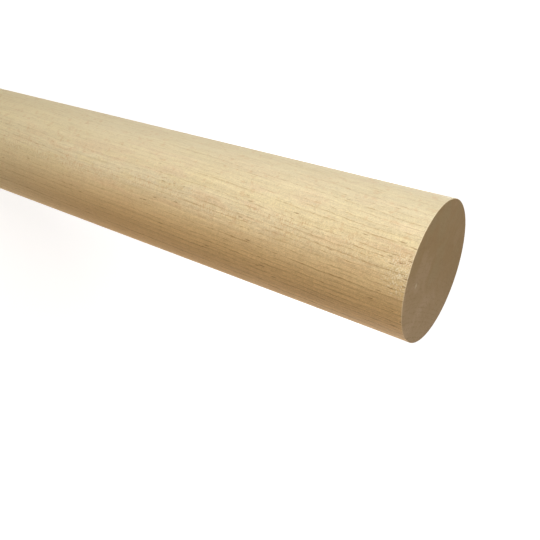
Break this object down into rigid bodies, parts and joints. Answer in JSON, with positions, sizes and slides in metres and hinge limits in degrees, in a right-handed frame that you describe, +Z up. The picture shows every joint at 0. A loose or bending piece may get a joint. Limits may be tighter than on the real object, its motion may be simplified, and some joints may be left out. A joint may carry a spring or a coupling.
{
  "type": "wooden dowel rod",
  "caption": "Straight round hardwood dowel rod with square-sawn ends, sanded bare, for use as a peg, rail, roller or handle stock.",
  "frame": {"origin": "centre of the foot face, the sawn end that the rod stands on", "axes": "+Z up the rod's axis from the foot face to the head face; X and Y are across the round section"},
  "size_m": [0.0508, 0.0508, 0.3048],
  "materials": {
    "maple": "sanded bare"
  },
  "bodies": {
    "root": {"dowel_rod": "maple"}
  },
  "joints": []
}
